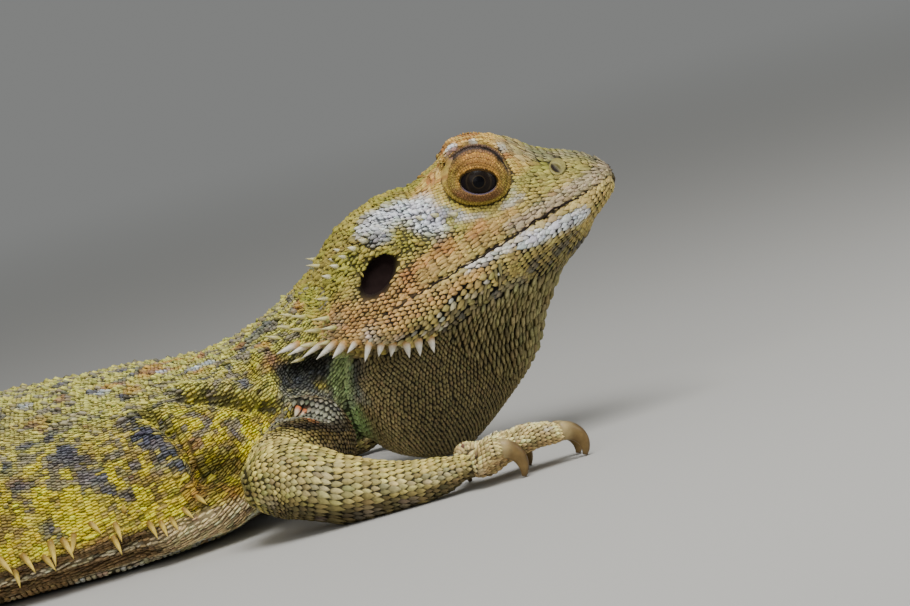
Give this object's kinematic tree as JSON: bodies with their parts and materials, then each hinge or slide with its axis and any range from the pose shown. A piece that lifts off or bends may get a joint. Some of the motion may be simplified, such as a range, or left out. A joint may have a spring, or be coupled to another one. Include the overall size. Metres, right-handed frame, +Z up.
{
  "type": "bearded dragon",
  "caption": "Life-size still model of an adult bearded dragon resting flat, head raised, throat pouch let down, museum display animal.",
  "frame": {"origin": "middle of the animal's box, at the floor that its belly rests on", "axes": "+X forward, from tail to snout; +Y the animal's left; +Z up"},
  "size_m": [0.4948, 0.1962, 0.0627],
  "materials": {
    "skin": "scaly, dry, yellow ochre with slate blotches",
    "pouch_skin": "scaly, dry, dark olive brown",
    "claw_horn": "translucent amber horn",
    "eye_black": "wet, glossy"
  },
  "bodies": {
    "root": {"claw_foot_left_fifth": "claw_horn", "claw_foot_left_first": "claw_horn", "claw_foot_left_fourth": "claw_horn", "claw_foot_left_second": "claw_horn", "claw_foot_left_third": "claw_horn", "claw_foot_right_fifth": "claw_horn", "claw_foot_right_first": "claw_horn", "claw_foot_right_fourth": "claw_horn", "claw_foot_right_second": "claw_horn", "claw_foot_right_third": "claw_horn", "claw_hand_left_fifth": "claw_horn", "claw_hand_left_first": "claw_horn", "claw_hand_left_fourth": "claw_horn", "claw_hand_left_second": "claw_horn", "claw_hand_left_third": "claw_horn", "claw_hand_right_fifth": "claw_horn", "claw_hand_right_first": "claw_horn", "claw_hand_right_fourth": "claw_horn", "claw_hand_right_second": "claw_horn", "claw_hand_right_third": "claw_horn", "eye_left": "eye_black", "eye_right": "eye_black", "foot_left": "skin", "foot_right": "skin", "forearm_left": "skin", "forearm_right": "skin", "hand_left": "skin", "hand_right": "skin", "head": "skin", "neck": "skin", "shank_left": "skin", "shank_right": "skin", "tail_1": "skin", "tail_2": "skin", "tail_3": "skin", "tail_4": "skin", "thigh_left": "skin", "thigh_right": "skin", "throat_pouch": "pouch_skin", "trunk": "skin", "upper_arm_left": "skin", "upper_arm_right": "skin"}
  },
  "joints": []
}
